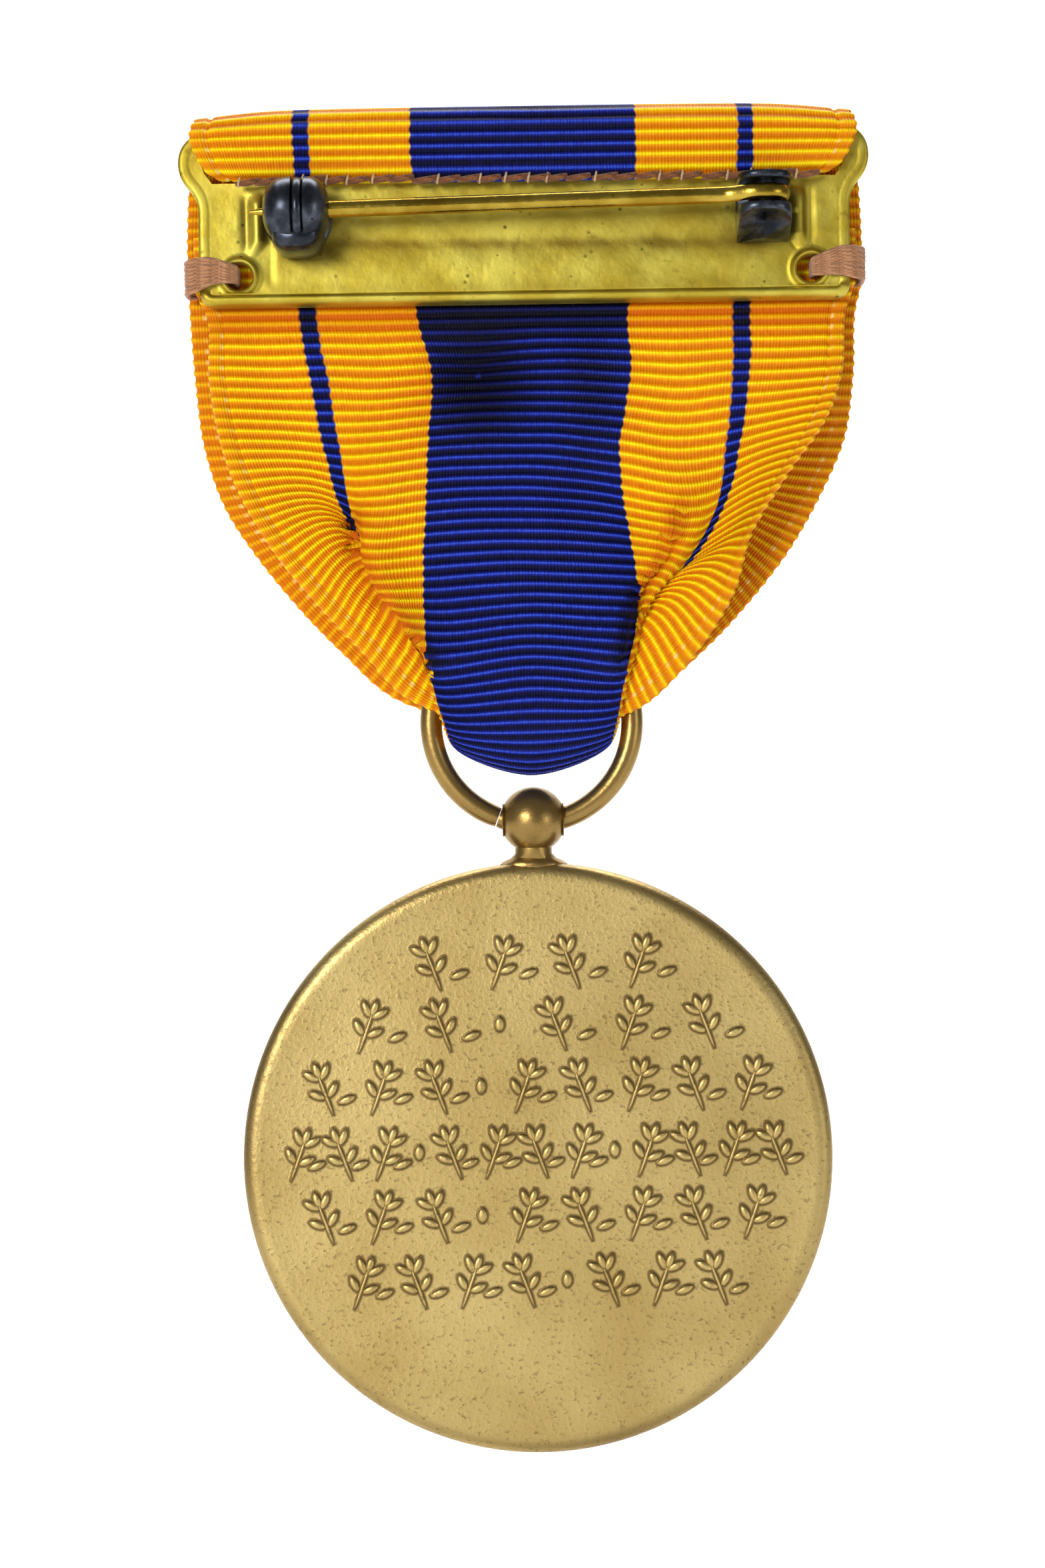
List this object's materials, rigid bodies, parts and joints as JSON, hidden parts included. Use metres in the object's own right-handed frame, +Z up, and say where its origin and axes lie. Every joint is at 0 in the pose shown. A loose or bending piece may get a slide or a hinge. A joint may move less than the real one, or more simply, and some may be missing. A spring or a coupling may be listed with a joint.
{
  "type": "service medal",
  "caption": "Round struck disc hung by a drilled knob and a wire ring from a folded striped ribbon on a slot brooch with a hinged pin and a turning lock.",
  "frame": {"origin": "middle of the brooch plate, on its flat back face, which rests against the wearer's cloth", "axes": "+Z up along the hanging medal, -Y out of the back towards the pin, +X towards the pin's hinge"},
  "size_m": [0.0368, 0.0079, 0.072],
  "materials": {
    "brass_plate": "satin",
    "brass_wire": "polished",
    "blackened_steel": "satin",
    "bronze": "matt",
    "bronze_ring": "satin",
    "ribbon": "woven",
    "thread": "twisted"
  },
  "bodies": {
    "brooch": {"brooch_plate": "brass_plate", "hinge_bracket": "blackened_steel", "catch_housing": "blackened_steel", "ribbon_wrap": "ribbon", "ribbon_tail": "ribbon", "seam_thread": "thread", "tie_thread_left": "thread", "tie_thread_right": "thread"},
    "pin_pivot": {"hinge_rivet": "blackened_steel"},
    "pin": {"pin_stem": "brass_wire"},
    "lock": {"catch_wheel": "blackened_steel"},
    "drop": {"ribbon_drop": "ribbon"},
    "ring": {"suspension_ring": "bronze_ring"},
    "medal": {"suspension_ball": "bronze", "medal_disc": "bronze"}
  },
  "joints": [
    {"name": "pin_swing", "type": "hinge", "parent": "brooch", "child": "pin_pivot", "pos_m": [0.0125, -0.0021, 0.0001], "axis": [0, 0, 1], "range_deg": [0, 75]},
    {"name": "pin_flex", "type": "hinge", "parent": "pin_pivot", "child": "pin", "pos_m": [0.0125, -0.0021, 0.0001], "axis": [0, 1, 0], "range_deg": [0, 6], "stiffness_Nm_per_rad": 0.002},
    {"name": "lock_turn", "type": "hinge", "parent": "brooch", "child": "lock", "pos_m": [-0.01185, -0.0021, -0.00041], "axis": [1, 0, 0], "range_deg": [0, 100]},
    {"name": "drop_swing", "type": "hinge", "parent": "brooch", "child": "drop", "pos_m": [0, 0.0019, -0.0053], "axis": [1, 0, 0], "range_deg": [-25, 55]},
    {"name": "ring_turn", "type": "hinge", "parent": "drop", "child": "ring", "pos_m": [0, 0.0019, -0.0274], "axis": [0, 1, 0], "range_deg": [-20, 20]},
    {"name": "medal_swing", "type": "hinge", "parent": "ring", "child": "medal", "pos_m": [0, 0.0019, -0.03268], "axis": [1, 0, 0], "range_deg": [-45, 45]}
  ]
}
